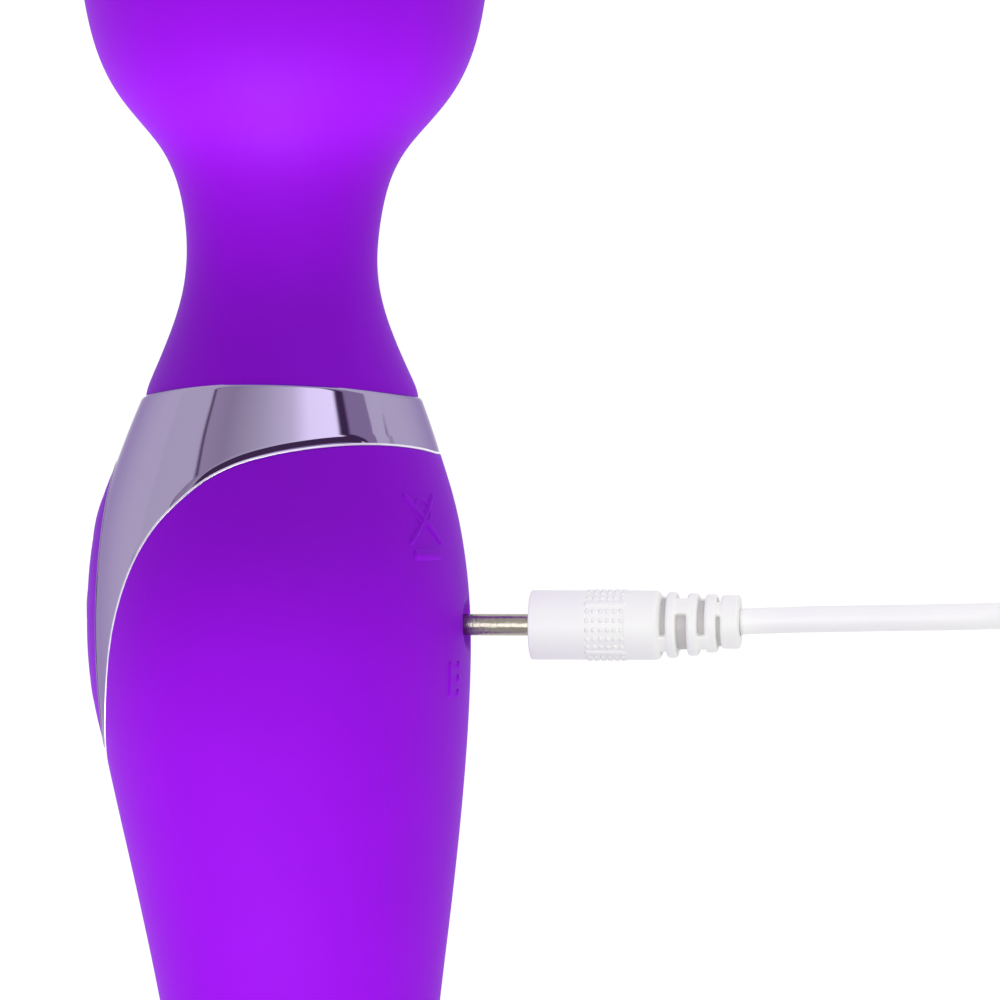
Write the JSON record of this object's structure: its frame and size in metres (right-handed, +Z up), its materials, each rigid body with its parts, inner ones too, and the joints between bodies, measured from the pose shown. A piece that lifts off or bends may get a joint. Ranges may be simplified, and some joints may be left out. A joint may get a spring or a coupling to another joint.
{
  "type": "handheld wand massager",
  "caption": "Cordless wand massager with a round soft head, a flexing neck, plated trim, front push buttons and a rear charging port with its cable plugged part-way in.",
  "frame": {"origin": "on the table under the middle of the wand, which lies on its side (bottom centre of the wand's bounding box, cable left out)", "axes": "+Y along the wand towards the head, -X to the front with the buttons, +X to the rear with the charging port, +Z up"},
  "size_m": [0.1598, 0.2017, 0.048],
  "materials": {
    "silicone_violet": "satin moulded silicone",
    "plated_trim": "mirror plating with a lavender tint",
    "grey_casing": "moulded",
    "steel": "plain",
    "black_rubber": "matt",
    "board_green": "solder mask",
    "black_plastic": "moulded",
    "white_plastic": "moulded, satin",
    "led_lens": "clear",
    "cell_wrap": "printed wrap",
    "nickel": "nickel plated",
    "wire_red": "insulated wire",
    "wire_black": "insulated wire",
    "magnet": "sintered",
    "bronze": "plain",
    "contact_gold": "gold plated",
    "white_cord": "smooth jacket"
  },
  "bodies": {
    "handle": {"handle_sleeve": "silicone_violet", "chrome_trim": "plated_trim", "control_panel": "silicone_violet", "upper_casing": "grey_casing", "lower_casing": "grey_casing", "casing_screws": "steel", "neck_socket": "grey_casing", "seal_ring": "black_rubber", "board_carrier": "grey_casing", "circuit_board": "board_green", "board_screws": "steel", "board_chips": "black_plastic", "lead_sockets": "white_plastic", "tact_switches": "black_plastic", "status_led": "led_lens", "battery": "cell_wrap", "battery_tabs": "nickel", "battery_pads": "black_rubber", "battery_leads": "wire_red", "dc_jack": "black_plastic", "jack_pin": "nickel", "jack_leads": "wire_black"},
    "plus": {"plus_button": "silicone_violet", "plus_plunger": "grey_casing"},
    "power": {"power_button": "silicone_violet", "power_plunger": "grey_casing"},
    "minus": {"minus_button": "silicone_violet", "minus_plunger": "grey_casing"},
    "neck": {"neck_skin_lower": "silicone_violet", "neck_spring_lower": "steel", "neck_leads_lower": "wire_red", "neck_link": "grey_casing", "neck_skin_upper": "silicone_violet", "neck_spring_upper": "steel", "neck_leads_upper": "wire_red"},
    "head": {"head_cover": "silicone_violet", "head_cup": "grey_casing", "head_cap": "grey_casing", "motor_can": "steel", "motor_magnets": "magnet", "motor_end_bell": "white_plastic", "motor_bush": "bronze", "motor_bracket": "grey_casing", "motor_screws": "steel"},
    "rotor": {"motor_shaft": "steel", "armature": "bronze", "commutator": "bronze", "eccentric_weight": "steel"},
    "cable": {"plug_barrel": "nickel", "plug_insulator": "black_plastic", "plug_grip": "white_plastic", "plug_relief": "white_plastic", "charging_cord": "white_cord", "cord_coil": "white_cord", "cord_tail": "white_cord", "cord_tie": "white_plastic", "usb_grip": "white_plastic", "usb_shell": "nickel", "usb_tongue": "black_plastic", "usb_contacts": "contact_gold"}
  },
  "joints": [
    {"name": "plus_press", "type": "slide", "parent": "handle", "child": "plus", "axis": [1, 0, 0], "range_m": [0, 0.0005], "stiffness_N_per_m": 1500, "springref_m": -0.0006},
    {"name": "power_press", "type": "slide", "parent": "handle", "child": "power", "axis": [1, 0, 0], "range_m": [0, 0.0005], "stiffness_N_per_m": 1500, "springref_m": -0.0006},
    {"name": "minus_press", "type": "slide", "parent": "handle", "child": "minus", "axis": [1, 0, 0], "range_m": [0, 0.0005], "stiffness_N_per_m": 1500, "springref_m": -0.0006},
    {"name": "neck_fore_aft", "type": "hinge", "parent": "handle", "child": "neck", "pos_m": [0, 0.035, 0.024], "axis": [0, 0, 1], "range_deg": [-15, 15], "stiffness_Nm_per_rad": 2, "deforming": ["neck_skin_lower", "neck_spring_lower", "neck_leads_lower"]},
    {"name": "neck_sideways", "type": "hinge", "parent": "neck", "child": "head", "pos_m": [0, 0.0505, 0.024], "axis": [1, 0, 0], "range_deg": [-15, 15], "stiffness_Nm_per_rad": 2, "deforming": ["neck_skin_upper", "neck_spring_upper", "neck_leads_upper"]},
    {"name": "rotor_spin", "type": "hinge", "parent": "head", "child": "rotor", "pos_m": [0, 0.0745, 0.024], "axis": [0, 1, 0], "continuous": true},
    {"name": "plug_slide", "type": "slide", "parent": "handle", "child": "cable", "axis": [1, 0, 0], "range_m": [-0.0072, 0.004]}
  ]
}
